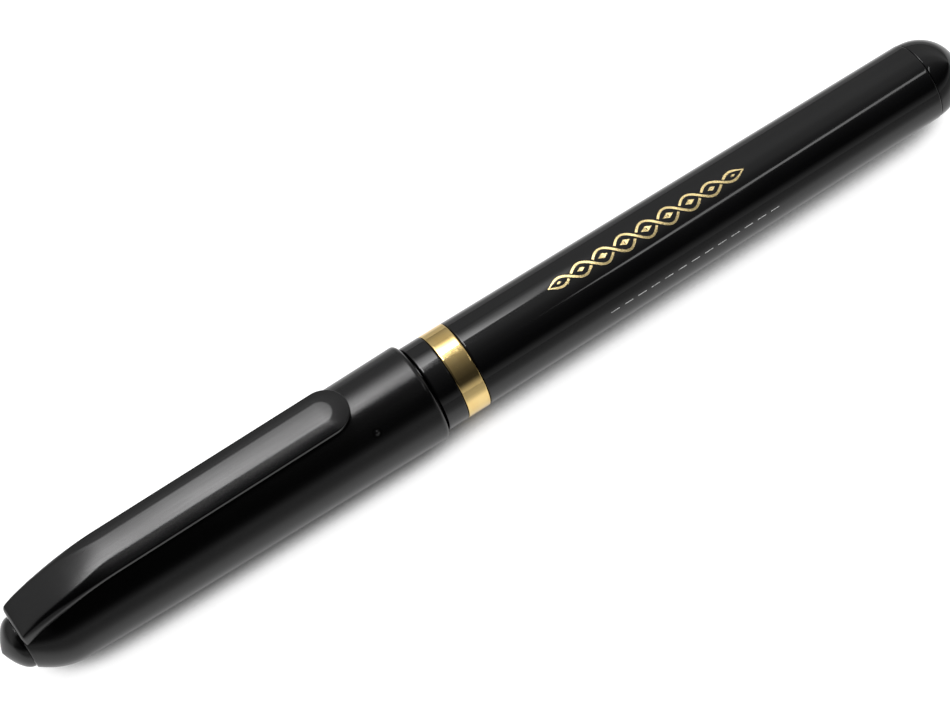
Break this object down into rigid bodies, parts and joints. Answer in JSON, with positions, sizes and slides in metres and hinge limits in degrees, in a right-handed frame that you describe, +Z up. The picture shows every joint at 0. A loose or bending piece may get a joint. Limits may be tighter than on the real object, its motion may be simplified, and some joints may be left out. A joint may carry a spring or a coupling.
{
  "type": "felt-tip pen",
  "caption": "Capped felt-tip pen with a push-on clipped cap, a trim ring, a tapered barrel and a fibre nib fed by an ink reservoir.",
  "frame": {"origin": "below the middle of the closed pen's length, on the plane that the pen lies on", "axes": "+X along the pen from the cap's closed end to the tail, +Z up through the clip, +Y across the pen"},
  "size_m": [0.1396, 0.0132, 0.0151],
  "materials": {
    "cap_plastic": "black, moulded satin",
    "barrel_plastic": "black, polished",
    "gold_trim": "pale gold, polished",
    "frosted_plastic": "translucent white, frosted",
    "holder_plastic": "dark grey, smooth",
    "inked_fibre": "fibre soaked with black ink",
    "clear_film": "thin clear film"
  },
  "bodies": {
    "pen": {"front_section": "barrel_plastic", "nib_holder": "holder_plastic", "fibre_nib": "inked_fibre", "trim_ring": "gold_trim", "barrel": "barrel_plastic", "tail_plug": "barrel_plastic", "ink_reservoir": "inked_fibre", "reservoir_film": "clear_film", "breather_tube": "frosted_plastic"},
    "inner_cap": {"inner_cap": "frosted_plastic"},
    "cap": {"cap_shell": "cap_plastic", "cap_end_plug": "cap_plastic"},
    "clip": {"clip": "cap_plastic"}
  },
  "joints": [
    {"name": "cap_pull", "type": "slide", "parent": "pen", "child": "inner_cap", "axis": [-1, 0, 0], "range_m": [0, 0.042]},
    {"name": "cap_turn", "type": "hinge", "parent": "inner_cap", "child": "cap", "pos_m": [-0.02, 0, 0.00658], "axis": [1, 0, 0], "continuous": true},
    {"name": "clip_flex", "type": "hinge", "parent": "cap", "child": "clip", "pos_m": [-0.06713, 0, 0.00973], "axis": [0, -1, 0], "range_deg": [0, 3.5], "stiffness_Nm_per_rad": 1.5}
  ]
}
